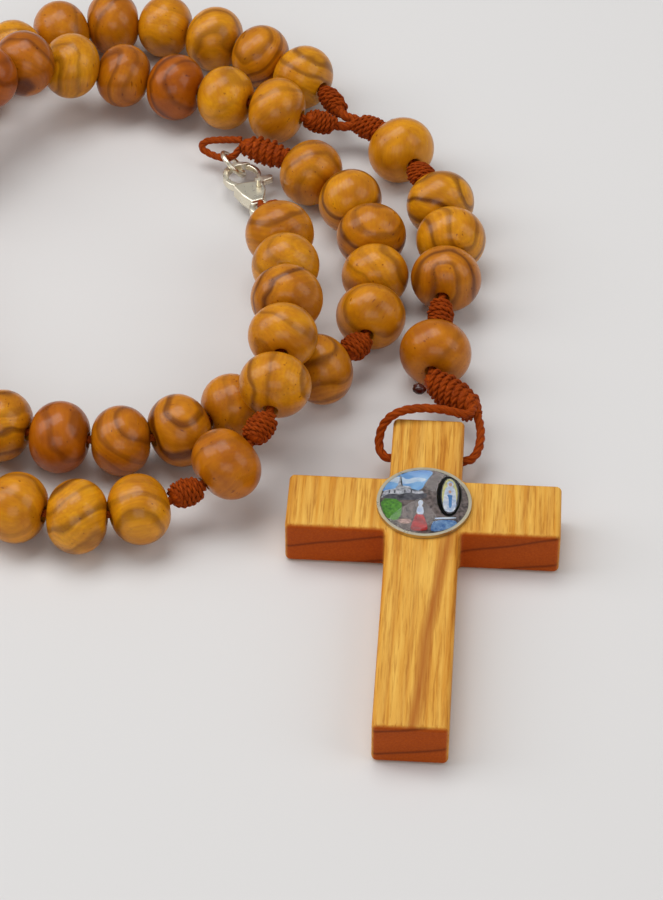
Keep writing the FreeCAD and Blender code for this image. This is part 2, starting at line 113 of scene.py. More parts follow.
def grid_faces(rows, columns, wrap_rows=False):
    """Quads between rows of points, each row a closed ring."""
    faces = []
    for row in range(rows if wrap_rows else rows - 1):
        after = (row + 1) % rows
        for column in range(columns):
            beside = (column + 1) % columns
            faces.append([row * columns + column, row * columns + beside,
                          after * columns + beside, after * columns + column])
    return faces


def sweep(build, path, radii, sides):
    """A round tube along the path; fields hold length along it and angle round it."""
    path = np.asarray(path, dtype=float)
    count = len(path)
    radii = np.broadcast_to(radii, (count,))
    tangents = np.gradient(path, axis=0)
    tangents /= np.linalg.norm(tangents, axis=1)[:, None]
    side, _ = across(tangents[0])
    along = np.concatenate([[0], np.cumsum(np.linalg.norm(np.diff(path, axis=0), axis=1))])
    points, fibre = [], []
    for index in range(count):
        tangent = tangents[index]
        side = unit(side - tangent * side.dot(tangent))
        other = np.cross(tangent, side)
        for corner in range(sides):
            angle = TAU * corner / sides
            points.append(path[index] + radii[index]
                          * (math.cos(angle) * side + math.sin(angle) * other))
            fibre.append((along[index], math.cos(angle), math.sin(angle)))
    faces = grid_faces(count, sides)
    faces.append(list(range(sides))[::-1])
    faces.append(list(range((count - 1) * sides, count * sides)))
    build.add(points, faces, fibre=fibre)


def frames_along(path):
    """Two side vectors at each point of a path, square to it, that turn as little as they can."""
    tangents = np.gradient(path, axis=0)
    tangents /= np.linalg.norm(tangents, axis=1)[:, None]
    side, _ = across(tangents[0])
    sides, others = [], []
    for tangent in tangents:
        side = unit(side - tangent * side.dot(tangent))
        sides.append(side)
        others.append(np.cross(tangent, side))
    return np.array(sides), np.array(others)


def resample(path, step):
    """The path cut into even lengths of about one step, and how far along each point is."""
    path = np.asarray(path, dtype=float)
    along = np.concatenate([[0], np.cumsum(np.linalg.norm(np.diff(path, axis=0), axis=1))])
    stops = np.linspace(0, along[-1], max(4, int(along[-1] / step) + 1))
    return np.array([np.interp(stops, along, path[:, k]) for k in range(3)]).T, stops


def rope(build, path, radius, plies=3, lay=3.4, step=0.16, sides=8):
    """A laid rope: plies that wind round the path, once round in each length lay."""
    path, stops = resample(path, step)
    across_path, over_path = frames_along(path)
    strand = radius * STRAND_SHARE
    for ply in range(plies):
        angles = TAU * (stops / lay + ply / plies)
        line = path + (radius - strand) * (np.cos(angles)[:, None] * across_path
                                           + np.sin(angles)[:, None] * over_path)
        sweep(build, line, strand, sides)


def nurbs(points):
    """Points in mm along the smooth line that has these control points."""
    curve = bpy.data.curves.new("route", "CURVE")
    curve.dimensions = "3D"
    curve.resolution_u = 14
    spline = curve.splines.new("NURBS")
    spline.points.add(len(points) - 1)
    for point, place in zip(spline.points, points):
        point.co = (*place, 1.0)
    spline.order_u = 3
    spline.use_endpoint_u = True
    holder = bpy.data.objects.new("route", curve)
    mesh = bpy.data.meshes.new_from_object(holder)
    line = np.array([tuple(vertex.co) for vertex in mesh.vertices])
    bpy.data.objects.remove(holder)
    bpy.data.curves.remove(curve)
    bpy.data.meshes.remove(mesh)
    return line


# --------------------------------------------------- what the frame holds
def islands(node):
    """Point clouds, in mm, of each separate solid in a CAD node."""
    mesh = NODES[node].data
    count = len(mesh.vertices)
    places = np.empty(count * 3)
    mesh.vertices.foreach_get("co", places)
    places = places.reshape(-1, 3) / MM
    world = np.array(NODES[node].matrix_world)
    places = places @ world[:3, :3].T + world[:3, 3] / MM
    _, merged = np.unique(np.round(places, 3), axis=0, return_inverse=True)
    merged = merged.ravel()
    parent = list(range(merged.max() + 1))

    def root(i):
        while parent[i] != i:
            parent[i] = parent[parent[i]]
            i = parent[i]
        return i

    for edge in mesh.edges:
        a, b = root(merged[edge.vertices[0]]), root(merged[edge.vertices[1]])
        if a != b:
            parent[a] = b
    roots = np.array([root(i) for i in range(len(parent))])[merged]
    return [places[roots == r] for r in dict.fromkeys(roots)]


def barrel_of(cloud):
    """Centre, axis, length and widest radius of a solid that is round about one line."""
    low, high = cloud.min(axis=0), cloud.max(axis=0)
    unique = np.unique(np.round(cloud, 3), axis=0)
    centre = (low + high) / 2
    _, values, vectors = np.linalg.svd(unique - unique.mean(axis=0), full_matrices=False)
    odd = 0 if abs(values[0] - values[1]) > abs(values[1] - values[2]) else 2
    axis = vectors[odd]
    along = (unique - centre) @ axis
    centre = centre + axis * (along.max() + along.min()) / 2
    offset = unique - centre
    outward = offset - np.outer(offset @ axis, axis)
    length = along.max() - along.min()
    return centre, axis, length, np.linalg.norm(outward, axis=1).max()


# --------------------------------------------------------------- materials
class Shader:
    """Writes one node material; each method adds a node and returns what comes out of it."""

    def __init__(self, name):
        self.material = bpy.data.materials.new(name)
        self.material.use_nodes = True
        self.tree = self.material.node_tree
        self.bsdf = self.tree.nodes["Principled BSDF"]

    def node(self, kind, values=None, **settings):
        node = self.tree.nodes.new("ShaderNode" + kind)
        for key, value in settings.items():
            setattr(node, key, value)
        for key, value in (values or {}).items():
            self.feed(node.inputs[key], value)
        return node

    def feed(self, socket, value):
        if isinstance(value, bpy.types.NodeSocket):
            self.tree.links.new(value, socket)
        else:
            socket.default_value = value

    def math(self, operation, a, b=0.0, clamp=False):
        return self.node("Math", {0: a, 1: b}, operation=operation, use_clamp=clamp).outputs[0]

    def vector(self, operation, a, b=(0, 0, 0), scale=1.0):
        node = self.node("VectorMath", {0: a, 1: b}, operation=operation)
        if operation == "SCALE":
            self.feed(node.inputs["Scale"], scale)
        return node.outputs[0]

    def attribute(self, name):
        return self.node("Attribute", attribute_name=name).outputs["Vector"]

    def noise(self, vector, scale, detail=2.0, roughness=0.5, out="Fac"):
        node = self.node("TexNoise", {"Vector": vector, "Scale": scale, "Detail": detail,
                                      "Roughness": roughness})
        return node.outputs[out]

    def ramp(self, fac, stops):
        node = self.node("ValToRGB", {"Fac": fac})
        ramp = node.color_ramp
        while len(ramp.elements) < len(stops):
            ramp.elements.new(0.5)
        for element, (place, colour) in zip(ramp.elements, stops):
            element.position = place
            element.color = (*colour, 1.0)
        return node.outputs["Color"]

    def mix(self, fac, a, b, blend="MIX"):
        node = self.node("Mix", data_type="RGBA", blend_type=blend)
        self.feed(node.inputs[0], fac)
        for socket, value in ((node.inputs[6], a), (node.inputs[7], b)):
            self.feed(socket, value if isinstance(value, bpy.types.NodeSocket) else (*value, 1.0))
        return node.outputs[2]

    def bump(self, height, distance, strength=1.0):
        node = self.node("Bump", {"Height": height, "Distance": distance, "Strength": strength})
        self.feed(self.bsdf.inputs["Normal"], node.outputs["Normal"])

    def set(self, **values):
        for key, value in values.items():
            self.feed(self.bsdf.inputs[key.replace("_", " ")], value)
        return self


def linear(red, green, blue):
    """A colour given in 0 to 255, as the renderer wants it."""
    return tuple((c / 12.92 if c <= 0.04045 else ((c + 0.055) / 1.055) ** 2.4)
                 for c in (red / 255, green / 255, blue / 255))


def bead_wood():
    """Varnished olive wood; 'grain' is a place in the log in mm, its rings round Z."""
    s = Shader("bead_wood")
    grain = s.attribute("grain")
    tone = s.node("SeparateXYZ", {0: s.attribute("tone")})
    depth, boldness, seed = tone.outputs[0], tone.outputs[1], tone.outputs[2]
    wander = s.noise(s.vector("MULTIPLY", grain, (0.16, 0.16, 0.10)), 1.0, 2.0, out="Color")
    bent = s.vector("ADD", grain, s.vector("SCALE", s.vector("SUBTRACT", wander, (0.5,) * 3),
                                           scale=4.5))
    split = s.node("SeparateXYZ", {0: bent})
    radius = s.math("SQRT", s.math("ADD", s.math("MULTIPLY", split.outputs[0], split.outputs[0]),
                                   s.math("MULTIPLY", split.outputs[1], split.outputs[1])))
    phase = s.math("MULTIPLY", radius, 0.46)
    ring = s.math("FRACT", phase)
    number = s.math("FLOOR", phase)
    chance = s.node("TexWhiteNoise", {"W": s.math("ADD", number, seed)},
                    noise_dimensions="1D").outputs["Value"]
    band = s.ramp(ring, [(0.0, (0.08,) * 3), (0.30, (0.0,) * 3), (0.55, (0.22,) * 3),
                         (0.70, (0.95,) * 3), (0.84, (0.85,) * 3), (0.98, (0.10,) * 3)])
    strength = s.math("MULTIPLY", s.math("ADD", s.math("MULTIPLY", chance, 0.95), 0.08), boldness)
    fibre = s.noise(s.vector("MULTIPLY", grain, (3.4, 3.4, 0.35)), 1.0, 3.0)
    fine = s.math("FRACT", s.math("MULTIPLY", radius, 1.7))
    fine = s.math("MULTIPLY", s.math("PINGPONG", fine, 0.5), 0.26)
    dark = s.math("MULTIPLY", band, strength)
    dark = s.math("ADD", dark, s.math("MULTIPLY", fine, boldness), clamp=True)
    light = s.mix(fibre, linear(240, 172, 24), linear(208, 126, 6))
    light = s.mix(depth, light, linear(170, 80, 2))
    colour = s.mix(s.math("MULTIPLY", dark, 0.95), light, linear(84, 32, 2))
    blotch = s.noise(grain, 0.32, 3.0)
    blotch = s.ramp(blotch, [(0.38, (0.62, 0.48, 0.34)), (0.6, (1.0, 1.0, 1.0))])
    colour = s.mix(0.62, colour, blotch, "MULTIPLY")
    pits = s.noise(s.vector("MULTIPLY", grain, (2.6, 2.6, 0.9)), 1.0, 1.0)
    pits = s.ramp(pits, [(0.22, (0.35, 0.2, 0.1)), (0.30, (1.0, 1.0, 1.0))])
    colour = s.mix(0.8, colour, pits, "MULTIPLY")
    rough = s.ramp(fibre, [(0.3, (0.27,) * 3), (0.7, (0.40,) * 3)])
    s.set(Base_Color=colour, Roughness=rough, Coat_Weight=0.25, Coat_Roughness=0.12,
          Specular_IOR_Level=0.2)
    s.bump(s.math("ADD", s.math("MULTIPLY", fibre, 0.5), s.math("MULTIPLY", dark, -0.35)),
           0.00006, 0.6)
    return s.material


def cross_wood():
    """Satin wood with its fibres along Y; faces across the grain are darker, and faces that look
    along X carry painted shade.
    """
    s = Shader("cross_wood")
    place = s.vector("SCALE", s.node("TexCoord").outputs["Object"], scale=1000.0)
    split = s.node("SeparateXYZ", {0: place})
    x, y, z = split.outputs
    sway = s.noise(s.vector("MULTIPLY", place, (0.05, 0.035, 0.1)), 1.0, 2.0)
    sway = s.math("MULTIPLY", s.math("SUBTRACT", sway, 0.5), 6.0)
    lane = s.math("ADD", s.math("ADD", x, s.math("MULTIPLY", z, 0.45)), sway)
    ring = s.math("FRACT", s.math("MULTIPLY", lane, 0.42))
    ring = s.ramp(ring, [(0.0, (0.0,) * 3), (0.55, (0.18,) * 3), (0.82, (0.7,) * 3),
                         (0.95, (0.05,) * 3)])
    streaks = s.noise(s.vector("MULTIPLY", place, (1.5, 0.07, 1.5)), 1.0, 4.0, 0.6)
    hair = s.noise(s.vector("MULTIPLY", place, (4.2, 0.20, 4.2)), 1.0, 3.0, 0.65)
    patchy = s.ramp(streaks, [(0.32, (0.0,) * 3), (0.68, (1.0,) * 3)])
    base = s.mix(patchy, linear(236, 186, 88), linear(208, 142, 48))
    base = s.mix(s.math("MULTIPLY", ring, 0.38), base, linear(168, 100, 42))
    lines = s.ramp(hair, [(0.34, (0.62, 0.47, 0.32)), (0.50, (1.0, 1.0, 1.0))])
    base = s.mix(0.7, base, lines, "MULTIPLY")
    # A dark heartwood streak runs down the right side of the upright.
    bend = s.noise(s.vector("MULTIPLY", place, (0.0, 0.07, 0.0)), 1.0, 1.0)
    middle = s.math("ADD", s.math("MULTIPLY", y, 0.085),
                    s.math("ADD", s.math("MULTIPLY", bend, 1.6), 2.1))
    gap = s.math("ABSOLUTE", s.math("SUBTRACT", x, middle))
    width = s.math("ADD", 0.35, s.math("MULTIPLY", streaks, 1.1))
    core = s.math("SUBTRACT", 1.0, s.math("DIVIDE", gap, width), clamp=True)
    below = s.math("LESS_THAN", y, -3.0)
    boldness = s.math("ADD", s.math("MULTIPLY", below, 0.5), 0.3)
    core = s.math("MULTIPLY", s.math("POWER", core, 0.7), boldness)
    base = s.mix(core, base, linear(160, 84, 24))
    # End grain shows on the faces that look along Y, darker and speckled.
    local = s.node("SeparateXYZ", {0: s.node("TexCoord").outputs["Normal"]})
    facing = s.math("ABSOLUTE", local.outputs[1])
    facing = s.ramp(facing, [(0.45, (0.0,) * 3), (0.9, (1.0,) * 3)])
    speck = s.noise(s.vector("MULTIPLY", place, (5.0, 0.4, 5.0)), 1.0, 4.0, 0.7)
    end = s.mix(speck, linear(200, 92, 10), linear(144, 52, 3))
    figure = s.math("ADD", s.math("ADD", s.math("MULTIPLY", z, 1.0), s.math("MULTIPLY", x, -0.24)),
                    s.math("MULTIPLY", sway, 0.5))
    figure = s.math("FRACT", s.math("MULTIPLY", figure, 0.27))
    figure = s.ramp(figure, [(0.0, (0.0,) * 3), (0.42, (0.1,) * 3), (0.5, (0.9,) * 3),
                             (0.58, (0.15,) * 3), (1.0, (0.0,) * 3)])
    end = s.mix(s.math("MULTIPLY", figure, 0.8), end, linear(88, 32, 2))
    colour = s.mix(facing, base, end)
    # Painted shade: faces that look along X are darkened and warmed, as if they got less light than
    # the tops.
    sides = s.ramp(s.math("ABSOLUTE", local.outputs[0]), [(0.3, (1.0, 1.0, 1.0)),
                                                          (0.9, (0.93, 0.78, 0.58))])
    colour = s.mix(1.0, colour, sides, "MULTIPLY")
    s.set(Base_Color=colour, Roughness=0.5, Specular_IOR_Level=0.12)
    s.bump(s.math("ADD", hair, s.math("MULTIPLY", speck, 0.4)), 0.00005, 0.5)
    return s.material


def cord_fibre(light, dark):
    """Nylon strands; 'fibre' holds the length along each strand and the way round it."""
    s = Shader("cord")
    fibre = s.attribute("fibre")
    threads = s.noise(s.vector("MULTIPLY", fibre, (1.3, 5.0, 5.0)), 1.0, 3.0, 0.6)
    broad = s.noise(s.vector("SCALE", s.node("TexCoord").outputs["Object"], scale=420.0), 1.0, 2.0)
    colour = s.mix(s.ramp(threads, [(0.3, (0.0,) * 3), (0.7, (1.0,) * 3)]), dark, light)
    colour = s.mix(s.math("MULTIPLY", broad, 0.35), colour, linear(112, 36, 2))
    s.set(Base_Color=colour, Roughness=0.6, Specular_IOR_Level=0.1)
    s.bump(threads, 0.00010, 0.9)
    return s.material


def plated(name, colour, rough):
    """Bright plated metal with faint yellow clouds where the plating is thin."""
    s = Shader(name)
    cloud = s.noise(s.vector("SCALE", s.node("TexCoord").outputs["Object"], scale=900.0), 1.0, 3.0)
    tint = s.mix(s.math("MULTIPLY", cloud, 0.30), colour, linear(176, 158, 104))
    s.set(Base_Color=tint, Metallic=1.0,
          Roughness=s.ramp(cloud, [(0.3, (rough,) * 3), (0.75, (rough + 0.14,) * 3)]))
    s.bump(cloud, 0.00003, 0.35)
    return s.material


def plain(name, colour, rough=0.5, vary=0.2, scale=1200.0, other=None):
    """A mottled colour: between colour and other, or a share vary darker than colour."""
    s = Shader(name)
    cloud = s.noise(s.vector("SCALE", s.node("TexCoord").outputs["Object"], scale=scale), 1.0, 3.0)
    cloud = s.ramp(cloud, [(0.35, (0.0,) * 3), (0.65, (1.0,) * 3)])
    other = other or tuple(c * (1 - vary) for c in colour)
    s.set(Base_Color=s.mix(cloud, colour, other), Roughness=rough)
    return s.material


WOOD = bead_wood()
CROSS = cross_wood()
CORD = cord_fibre(linear(196, 86, 6), linear(108, 32, 2))
MELTED = plain("cord_melted", linear(70, 18, 6), 0.25, 0.5, 1500.0)
GOLD = plated("clasp_metal", linear(246, 240, 222), 0.24)
RIM = plated("medal_metal", linear(196, 190, 172), 0.26)

# -------------------------------------------------------------------- beads
MOUTH_RADIUS, HOLE_RADIUS = 0.95, 0.85
BEAD_COLUMNS, BEAD_ROWS = 48, 36
draw = random.Random(41)


def bead(build, centre, axis, length, radius):
    """A turned bead on its hole's axis, cut from its own place in a log."""
    half = length / 2
    middle = (radius ** 2 - MOUTH_RADIUS ** 2 - half ** 2) / (2 * (radius - MOUTH_RADIUS))
    bulge = radius - middle
    limit = math.atan2(half, MOUTH_RADIUS - middle)
    profile = [(middle + bulge * math.cos(a), bulge * math.sin(a))
               for a in np.linspace(-limit, limit, BEAD_ROWS)]
    profile += [(HOLE_RADIUS, half - 0.05), (HOLE_RADIUS, 0.0), (HOLE_RADIUS, -half + 0.05)]
    first, second = across(axis)
    seed = draw.uniform(0, 100)
    log_axis = unit(np.array([draw.gauss(0, 1) for _ in range(3)]))
    log_x, log_y = across(log_axis)
    pith = draw.choice((draw.uniform(2.0, 5.0), draw.uniform(6.0, 14.0), draw.uniform(10.0, 26.0)))
    angle = draw.uniform(0, TAU)
    shift = np.array([pith * math.cos(angle), pith * math.sin(angle), draw.uniform(0, 200)])
    tone = (max(0.0, min(1.0, draw.gauss(0.32, 0.28))), draw.uniform(0.55, 1.0), seed)
    points, grain = [], []
    for out, up in profile:
        for column in range(BEAD_COLUMNS):
            turn = TAU * column / BEAD_COLUMNS
            ray = math.cos(turn) * first + math.sin(turn) * second
            wobble = noise.noise(Vector(tuple(ray * 1.3 + axis * up * 0.4)) + Vector((seed, 0, 0)))
            place = ray * out * (1 - 0.006 * (1 + wobble)) + axis * up
            points.append(centre + place)
            grain.append(np.array([place @ log_x, place @ log_y, place @ log_axis]) + shift)
    build.add(points, grid_faces(len(profile), BEAD_COLUMNS, wrap_rows=True),
              grain=grain, tone=[tone] * len(points))


beads = {}
for node in NODES:
    is_row = node.endswith("_decade") or node.endswith("_last_five")
    if is_row or node.endswith("_father_bead") or (node.startswith("pendant_bead_")
                                                   and node != "pendant_bead_cord"):
        build = Build()
        beads[node] = [barrel_of(cloud) for cloud in islands(node)]
        for centre, axis, length, radius in beads[node]:
            bead(build, centre, axis, length, radius)
        build.place(node + "_wood", [WOOD], node, slot="bead_wood", replaces=[node])


def chain(nodes):
    """Bead centres and axes in order along the cord, every axis pointing onwards."""
    found = [b for node in nodes for b in beads[node]]
    centres = [b[0] for b in found]
    order = [0] if len(found) == 1 else None
    if order is None:
        spans = [[np.linalg.norm(a - b) for b in centres] for a in centres]
        ends = np.unravel_index(np.argmax(spans), (len(centres), len(centres)))
        best = None
        for first in ends:
            left, walk = set(range(len(centres))) - {first}, [first]
            while left:
                step = min(left, key=lambda i: np.linalg.norm(centres[i] - centres[walk[-1]]))
                walk.append(step)
                left.remove(step)
            total = sum(np.linalg.norm(centres[a] - centres[b]) for a, b in zip(walk, walk[1:]))
            if best is None or total < best[0] - 1e-6:
                best = (total, walk)
        order = best[1]
    out = []
    for place, index in enumerate(order):
        centre, axis, length, radius = found[index]
        toward = (centres[order[min(place + 1, len(order) - 1)]]
                  - centres[order[max(place - 1, 0)]]) if len(order) > 1 else axis
        out.append((centre, axis if axis @ toward > 0 else -axis, length / 2))
    return out


def row_cord(name, nodes, node):
    """The rope through a row of beads, showing in the gaps between them."""
    row = chain(nodes)
    overhang = 0.5
    mouths = [row[0][0] - row[0][1] * (row[0][2] + overhang)]
    for (c0, a0, h0), (c1, a1, h1) in zip(row, row[1:]):
        mouths.append((c0 + a0 * h0 + c1 - a1 * h1) / 2)
    mouths.append(row[-1][0] + row[-1][1] * (row[-1][2] + overhang))
    if len(mouths) == 2:
        mouths.insert(1, (mouths[0] + mouths[1]) / 2)
    build = Build()
    rope(build, nurbs(mouths), HIDDEN_CORD_RADIUS, step=0.3, sides=6)
    build.place(name, [CORD], node, slot="cord", replaces=[node])


for strand in ("under", "over"):
    for group in ("first", "second"):
        row_cord("%s_%s_rope" % (strand, group), ["%s_%s_decade" % (strand, group)],
                 "%s_%s_cord" % (strand, group))
        row_cord("%s_%s_father_rope" % (strand, group), ["%s_%s_father_bead" % (strand, group)],
                 "%s_%s_father_cord" % (strand, group))
    row_cord(strand + "_last_rope", [strand + "_last_five"], strand + "_last_cord")
row_cord("pendant_bead_rope", ["pendant_bead_1", "pendant_bead_2", "pendant_bead_3"],
         "pendant_bead_cord")
row_cord("pendant_father_rope", ["pendant_father_bead"], "pendant_father_cord")
row_cord("centre_father_rope", ["centre_father_bead"], "centre_father_cord")


# -------------------------------------------------------------------- knots
def knot(node, turns, slant, wrap):
    """A barrel knot: wraps of twisted cord, wrap in radius, round the standing cord."""
    centre, axis, length, radius = barrel_of(islands(node)[0])
    first, second = across(axis)
    build = Build()
    half = length / 2
    start = draw.uniform(0, TAU)
    reach = radius - wrap

    def hull(t):
        """How far out the wraps lie, from 0 to 1 along the knot."""
        return reach * (0.60 + 0.40 * math.sin(math.pi * min(1.0, max(0.0, t))) ** 0.6)

    line = []
    samples = turns * 26
    tuck = 0.1
    for index in range(samples + 1):
        t = index / samples
        angle = start + TAU * turns * t
        out = hull(t) * (1 + 0.05 * math.sin(angle * 0.5 + start))
        rise = (t * 2 - 1) * (half - wrap * 0.7) + slant * math.cos(angle - start)
        rise = max(-half - tuck, min(half + tuck, rise))
        line.append(centre + axis * rise + first * out * math.cos(angle)
                    + second * out * math.sin(angle))
    rope(build, line, wrap, plies=2, lay=1.5, step=0.12, sides=7)
    stations = np.linspace(0, 1, 9)
    core = [centre + axis * (half * (2 * t - 1)) for t in stations]
    sweep(build, core, [max(0.35, hull(t) - wrap * 0.3) for t in stations], sides=16)
    overhang = 0.55
    ends = [centre - axis * (half + overhang), centre, centre + axis * (half + overhang)]
    rope(build, ends, HIDDEN_CORD_RADIUS, step=0.3, sides=6)
    build.place(node + "_wraps", [CORD], node, slot="cord", replaces=[node])


for node in list(NODES):
    if node.endswith("_knot"):
        long_one = node in ("cross_knot", "centre_knot")
        knot(node, turns=7 if long_one else 6, slant=0.45 if node == "cross_knot" else 0.30,
             wrap=0.34 if long_one else 0.31)


def nub(name, node, place, size):
    """The dark melted end of a cord, a small uneven lump."""
    build = Build()
    rows, columns = 9, 12
    points = []
    for row in range(rows):
        lift = -math.pi / 2 + math.pi * (row + 0.5) / rows
        for column in range(columns):
            turn = TAU * column / columns
            ray = Vector((math.cos(lift) * math.cos(turn), math.cos(lift) * math.sin(turn),
                          math.sin(lift)))
            swell = 1 + 0.35 * noise.noise(ray * 1.7 + Vector(place))
            points.append(np.array(place) + np.array(ray * swell) * size)
    faces = grid_faces(rows, columns)
    faces += [list(range(columns))[::-1], list(range((rows - 1) * columns, rows * columns))]
    build.add(points, faces)
    build.place(name, [MELTED], node, slot="cord")


nub("cross_knot_melted_end", "cross_knot", (-1.4, 18.7, 5.3), (0.75, 0.6, 0.55))
nub("centre_knot_melted_end", "centre_knot", (-6.6, 66.4, 5.2), (0.6, 0.35, 0.3))
nub("clasp_knot_melted_end", "over_last_knot", (-21.9, 47.0, 5.3), (0.7, 0.45, 0.4))

# --------------------------------------------------- loops of bare cord
LOOP_ROUTE = [
    (5.2, 16.3, 4.5), (5.7, 14.6, 4.3), (5.9, 12.8, 3.8), (5.6, 10.8, 3.2), (4.5, 9.6, 2.9),
    (0.0, 9.6, 2.9), (-4.5, 9.6, 2.9), (-5.4, 10.5, 3.1), (-5.6, 11.8, 4.0), (-5.1, 12.6, 5.7),
    (-3.6, 13.1, 7.0), (-1.2, 13.7, 7.2), (1.6, 13.9, 6.9), (4.2, 14.2, 5.8), (4.9, 15.3, 5.6),
    (4.7, 16.7, 5.0)]


def bare_rope(name, node, route, radius=CORD_RADIUS, lay=3.2):
    """Cord in the open, along the route that part.py gives the node."""
    build = Build()
    rope(build, nurbs(route), radius, lay=lay)
    build.place(name, [CORD], node, slot="cord", replaces=[node])


bare_rope("cross_loop_rope", "cross_loop_cord", LOOP_ROUTE)
RING_HOLD = (-27.0, 61.25, 2.4)
bare_rope("loop_rope", "loop_cord", [
    (-25.5, 62.2, 3.4), (-26.1, 61.6, 2.7), RING_HOLD, (-27.9, 61.6, 2.25), (-29.4, 62.4, 2.1),
    (-30.6, 63.1, 2.5), (-30.0, 63.5, 3.25), (-28.2, 63.2, 3.8), (-25.4, 62.75, 4.3)],
    radius=THIN_CORD_RADIUS, lay=2.6)
bare_rope("clasp_tie_rope", "clasp_tie_cord", [
    (-20.9, 48.3, 6.2), (-21.6, 49.6, 4.9), (-22.0, 50.9, 4.1), (-22.2, 52.2, 3.5),
    (-22.2, 52.2, 1.3), (-21.9, 50.5, 0.9), (-21.4, 48.6, 1.6)], radius=TIE_CORD_RADIUS, lay=2.2)
bare_rope("under_branch_rope", "under_branch_cord", [
    (-11.3, 68.2, 3.8), (-12.1, 68.6, 3.7), (-12.8, 68.9, 3.6), (-13.6, 69.8, 3.7)],
          radius=BRANCH_CORD_RADIUS, lay=2.4)
bare_rope("over_branch_rope", "over_branch_cord", [
    (-11.3, 67.3, 3.8), (-12.1, 67.2, 3.6), (-12.9, 67.0, 3.5), (-14.2, 67.0, 3.8)],
          radius=BRANCH_CORD_RADIUS, lay=2.4)


# -------------------------------------------------------------------- clasp
def cast(name, node, rounds):
    """A copy of a CAD piece with the soft edges of a small casting."""
    piece = bpy.data.objects.new(name, NODES[node].data.copy())
    piece.matrix_world = NODES[node].matrix_world.copy()
    bpy.context.collection.objects.link(piece)
    remesh = piece.modifiers.new("even", "REMESH")
    remesh.mode = "VOXEL"
    remesh.voxel_size = 0.075 * MM
    remesh.use_smooth_shade = True
    soften = piece.modifiers.new("soften", "SMOOTH")
    soften.factor = 0.5
    soften.iterations = rounds
    graph = bpy.context.evaluated_depsgraph_get()
    mesh = bpy.data.meshes.new_from_object(piece.evaluated_get(graph))
    piece.modifiers.clear()
    piece.data = mesh
    mesh.materials.clear()
    mesh.materials.append(GOLD)
    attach(piece, BODY_OF[node])
    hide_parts(node)


cast("clasp_claw_cast", "clasp_claw", rounds=7)
cast("clasp_lever_cast", "clasp_lever", rounds=5)


def dress(node, material):
    """Give a CAD node its finished material."""
    data = NODES[node].data
    data.materials.clear()
    data.materials.append(material)


for node in ("jump_ring", "clasp_rivet", "clasp_spring"):
    dress(node, GOLD)
dress("cross", CROSS)
dress("medal_plate", RIM)

# -------------------------------------------------------------------- medal
low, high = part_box("medal_picture")
PICTURE_TOP = high[2] / MM
PICTURE_RADIUS = (high[0] - low[0]) / MM / 2
clear = Shader("medal_resin").set(Base_Color=(1.0, 1.0, 1.0, 1.0), Roughness=0.02, IOR=1.33,
                                  Transmission_Weight=1.0)
ripple = clear.noise(clear.vector("SCALE", clear.node("TexCoord").outputs["Object"], scale=300.0),
                     1.0, 1.0)
clear.bump(ripple, 0.00001, 0.15)
dress("medal_dome", clear.material)

PRINT = {
    "rock": plain("print_rock", linear(62, 50, 46), 0.5, scale=2600.0, other=linear(128, 112, 108)),
    "sky": plain("print_sky", linear(78, 150, 226), 0.5, scale=500.0, other=linear(140, 194, 240)),
    "cloud": plain("print_cloud", linear(226, 236, 246), 0.5, scale=900.0,
                   other=linear(168, 202, 236)),
    "wall": plain("print_wall", linear(214, 216, 222), 0.5, scale=2400.0,
                  other=linear(132, 136, 148)),
    "shade": plain("print_shade", linear(52, 56, 70), 0.5, scale=2400.0, other=linear(92, 92, 100)),
    "lawn": plain("print_lawn", linear(96, 168, 40), 0.5, scale=3200.0, other=linear(52, 118, 24)),
    "path": plain("print_path", linear(206, 168, 156), 0.5, scale=2500.0,
                  other=linear(160, 120, 110)),
    "glow": plain("print_glow", linear(232, 226, 150), 0.5, scale=1600.0,
                  other=linear(200, 200, 140)),
    "robe": plain("print_robe", linear(232, 238, 248), 0.5, scale=1800.0,
                  other=linear(176, 198, 232)),
    "sash": plain("print_sash", linear(66, 132, 206), 0.5, scale=1800.0,
                  other=linear(96, 160, 220)),
    "dress": plain("print_dress", linear(206, 30, 30), 0.5, scale=2000.0,
                   other=linear(150, 18, 24)),
    "skin": plain("print_skin", linear(226, 182, 150), 0.5, scale=2000.0,
                  other=linear(206, 160, 130)),
    "water": plain("print_water", linear(52, 106, 176), 0.5, scale=2600.0,
                   other=linear(128, 168, 210)),
}
PRINT_NAMES = list(PRINT)
picture = Build()
layers = {"count": 0}


def blob(kind, outline, rounding=2):
    """One flat printed shape, kept inside the disc, laid over the shapes before it."""
    shape = [np.array(p, dtype=float) for p in outline]
    for _ in range(rounding):
        shape = [q for a, b in zip(shape, shape[1:] + shape[:1])
                 for q in (a * 0.75 + b * 0.25, a * 0.25 + b * 0.75)]
    height = PICTURE_TOP - 0.06 + 0.004 * layers["count"]
    layers["count"] += 1
    reach = PICTURE_RADIUS - 0.02
    flat = [p if np.linalg.norm(p) < reach else p * reach / np.linalg.norm(p) for p in shape]
    points = [np.array([p[0], p[1], height]) for p in flat]
    centre = sum(points) / len(points)
    faces = [[len(points), i, (i + 1) % len(points)] for i in range(len(points))]
    picture.add(points + [centre], faces, PRINT_NAMES.index(kind))


def oval(kind, x, y, wide, tall, count=28):
    blob(kind, [(x + wide * math.cos(TAU * i / count), y + tall * math.sin(TAU * i / count))
                for i in range(count)], 0)


